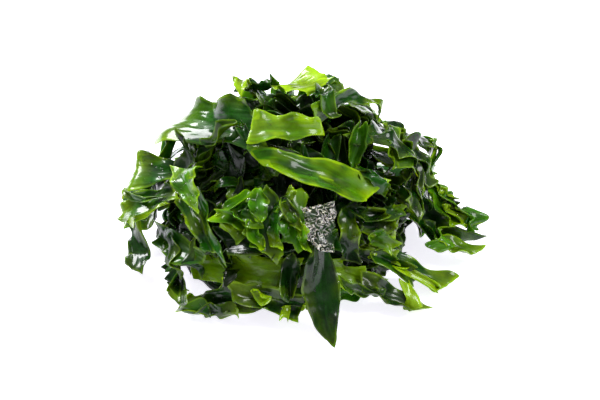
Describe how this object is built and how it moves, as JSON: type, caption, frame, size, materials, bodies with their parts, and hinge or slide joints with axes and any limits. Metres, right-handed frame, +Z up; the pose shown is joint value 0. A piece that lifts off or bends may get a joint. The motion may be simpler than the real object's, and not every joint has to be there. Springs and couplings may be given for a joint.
{
  "type": "heap of cut kelp",
  "caption": "Heap of soaked, cut kelp: limp, wavy, torn green blades lying over a packed tangle of short ones.",
  "frame": {"origin": "on the surface it rests on, under the middle of its bounding box", "axes": "+Z up out of the surface, +X along the heap's longest side, -Y towards the side seen in the picture"},
  "size_m": [0.1486, 0.145, 0.0743],
  "materials": {
    "deep_green": "gloss",
    "leaf_green": "gloss",
    "bright_green": "gloss",
    "lime_green": "gloss"
  },
  "bodies": {
    "root": {"arched_strap": "leaf_green", "bright_band": "bright_green", "crown_cup": "lime_green", "curled_left": "leaf_green", "curled_shoulder": "leaf_green", "dark_arch": "deep_green", "dark_cup": "deep_green", "far_right": "bright_green", "flank_blade_01": "leaf_green", "flank_blade_02": "leaf_green", "flank_blade_03": "leaf_green", "flank_blade_04": "leaf_green", "flank_blade_05": "leaf_green", "flank_blade_06": "leaf_green", "foot_blade_01": "leaf_green", "foot_blade_02": "leaf_green", "foot_blade_03": "leaf_green", "foot_blade_04": "leaf_green", "foot_blade_05": "leaf_green", "foot_blade_06": "leaf_green", "foot_blade_07": "leaf_green", "foot_blade_08": "leaf_green", "foot_blade_09": "leaf_green", "foot_blade_10": "leaf_green", "front_lance": "deep_green", "front_long": "bright_green", "front_low": "bright_green", "left_hanging": "deep_green", "left_lime_tip": "lime_green", "left_tip": "leaf_green", "left_wing": "leaf_green", "light_flat": "bright_green", "lime_middle": "lime_green", "lobes_left": "leaf_green", "lobes_middle": "leaf_green", "lobes_right": "bright_green", "low_left_curl": "deep_green", "low_left_inner": "deep_green", "low_left_outer": "deep_green", "low_left_turn": "leaf_green", "packed_middle": "deep_green", "patched_square": "deep_green", "right_lime": "lime_green", "right_low_far": "leaf_green", "right_low_middle": "leaf_green", "right_low_near": "deep_green", "right_middle": "deep_green", "right_strap": "deep_green", "shoulder_blade_01": "leaf_green", "shoulder_blade_02": "leaf_green", "shoulder_blade_03": "leaf_green", "shoulder_blade_04": "leaf_green", "sparkling": "bright_green", "top_dark": "deep_green", "top_lime_tip": "lime_green", "top_lobe": "leaf_green", "upright_strap": "deep_green", "wide_sheet": "leaf_green"}
  },
  "joints": []
}
